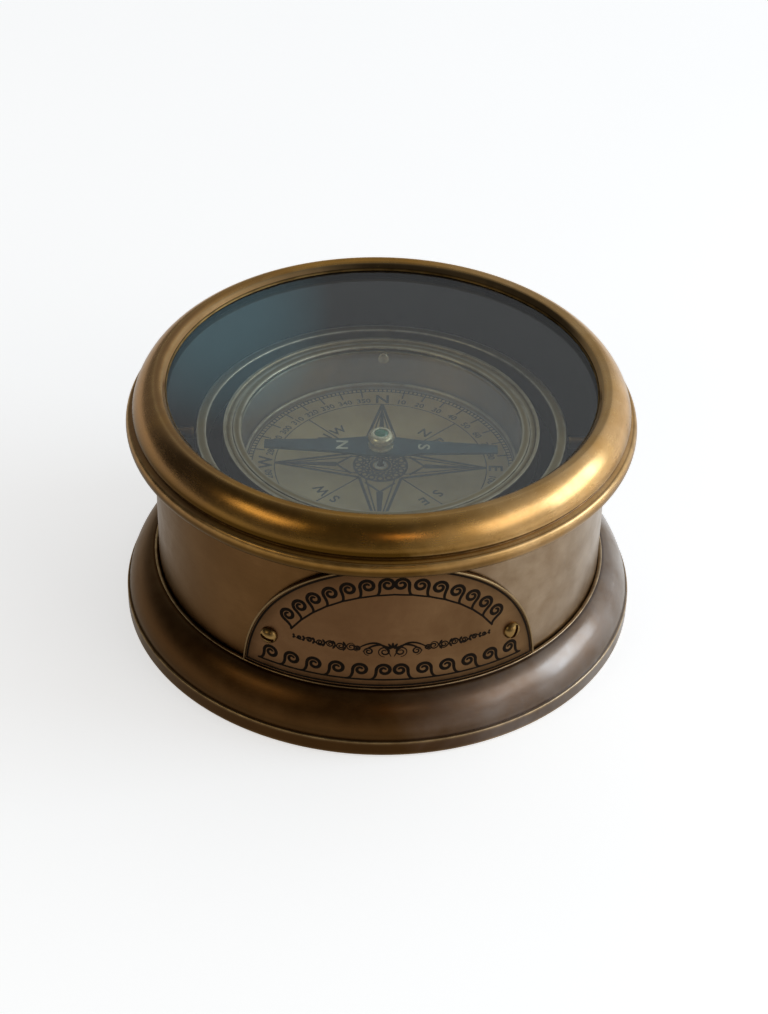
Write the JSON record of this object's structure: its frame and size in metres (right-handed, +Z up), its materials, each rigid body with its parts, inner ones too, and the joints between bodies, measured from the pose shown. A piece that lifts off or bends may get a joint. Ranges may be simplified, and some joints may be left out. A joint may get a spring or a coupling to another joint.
{
  "type": "drum compass",
  "caption": "Desk compass in a turned brass drum: a gimballed bowl with dial and blued needle under flat glass in a screw-on rounded bezel, on a flared foot.",
  "frame": {"origin": "middle of the felt underside, on the drum's axis", "axes": "+Z up along the drum's axis, -Y to the front, where the plaque is, +X to the right seen from the front"},
  "size_m": [0.103, 0.103, 0.052],
  "materials": {
    "aged_brass": "brown antique patina, satin, worn brighter on edges",
    "gold_brass": "golden antique brass, satin with turning marks",
    "pale_brass": "satin turned brass",
    "steel": "turned steel",
    "blued_steel": "heat-blued, satin",
    "lead": "cast, matte",
    "dial": "matte lacquered brass with dark printing",
    "jewel": "polished green",
    "felt": "pressed felt",
    "glass": "flat polished"
  },
  "bodies": {
    "case": {"felt_pad": "felt", "base_plate": "aged_brass", "base_screw_1": "steel", "base_screw_2": "steel", "base_screw_3": "steel", "base_foot": "aged_brass", "drum_wall": "aged_brass", "plaque": "aged_brass", "plaque_screw_left": "gold_brass", "plaque_screw_right": "gold_brass", "ring_pivot_left": "gold_brass", "ring_pivot_right": "gold_brass"},
    "glazing": {"top_glass": "glass", "glass_retaining_ring": "steel"},
    "bezel": {"bezel_ring": "gold_brass"},
    "gimbal": {"gimbal_ring": "pale_brass"},
    "bowl": {"compass_bowl": "pale_brass", "bowl_weight": "lead", "weight_screw": "steel", "bowl_glass": "glass", "bowl_glass_ring": "pale_brass", "dial_card": "dial", "dial_ring": "pale_brass", "pivot_post": "steel", "bowl_pivot_front": "pale_brass", "bowl_pivot_rear": "pale_brass"},
    "needle": {"needle": "blued_steel", "needle_cap": "gold_brass", "cap_jewel": "jewel"}
  },
  "joints": [
    {"name": "bezel_lift", "type": "slide", "parent": "case", "child": "glazing", "axis": [0, 0, 1], "range_m": [0, 0.0046]},
    {"name": "bezel_turn", "type": "hinge", "parent": "glazing", "child": "bezel", "pos_m": [0, 0, 0.046], "axis": [0, 0, 1], "range_deg": [0, 1080]},
    {"name": "ring_tilt", "type": "hinge", "parent": "case", "child": "gimbal", "pos_m": [0, 0, 0.0364], "axis": [1, 0, 0], "range_deg": [-10, 10]},
    {"name": "bowl_tilt", "type": "hinge", "parent": "gimbal", "child": "bowl", "pos_m": [0, 0, 0.0364], "axis": [0, 1, 0], "range_deg": [-10, 10]},
    {"name": "needle_spin", "type": "hinge", "parent": "bowl", "child": "needle", "pos_m": [0, 0, 0.0355], "axis": [0, 0, 1], "continuous": true}
  ],
  "couplings": [
    {"joint": "bezel_lift", "follows": "bezel_turn", "m_per_rad": 0.00023873}
  ]
}
